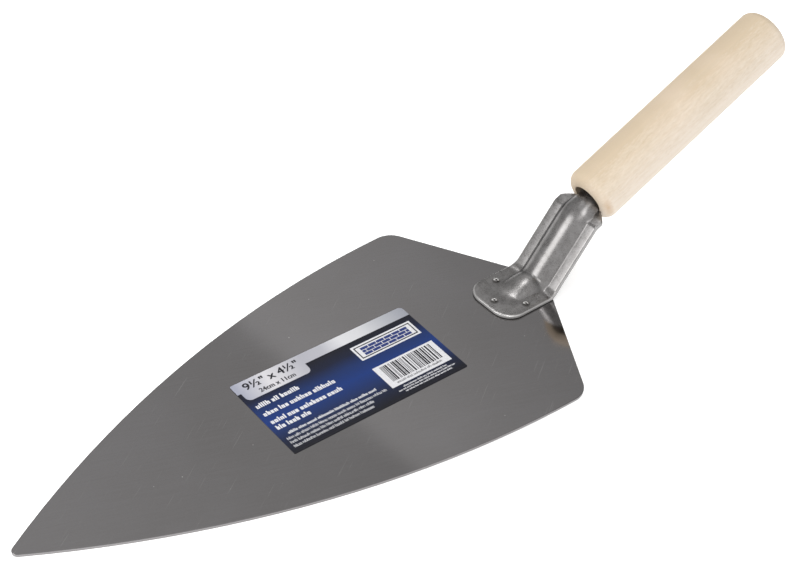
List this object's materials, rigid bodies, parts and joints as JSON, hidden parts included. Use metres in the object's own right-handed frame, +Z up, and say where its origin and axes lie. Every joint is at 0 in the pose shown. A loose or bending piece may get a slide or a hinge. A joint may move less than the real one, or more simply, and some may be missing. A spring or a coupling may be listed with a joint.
{
  "type": "brick trowel",
  "caption": "Brick trowel with a flat pointed steel blade, a stamped sheet-steel shank spot welded onto it and a round wooden handle on the shank's tang.",
  "frame": {"origin": "on the blade's underside, on the centre line, directly below the front spot weld", "axes": "+X along the blade to its tip, +Y to the left seen from the handle, +Z up, away from the surface that the blade lies on"},
  "size_m": [0.3569, 0.1142, 0.087],
  "materials": {
    "blade_steel": "smooth rolled steel, slightly satin",
    "shank_steel": "stamped sheet steel, mottled satin",
    "weld_steel": "bare weld mark",
    "handle_wood": "pale sanded hardwood, unvarnished",
    "label_print": "printed, slightly glossy"
  },
  "bodies": {
    "root": {"blade": "blade_steel", "shank": "shank_steel", "spot_weld_front": "weld_steel", "spot_weld_left": "weld_steel", "spot_weld_right": "weld_steel", "handle": "handle_wood", "label": "label_print"}
  },
  "joints": []
}
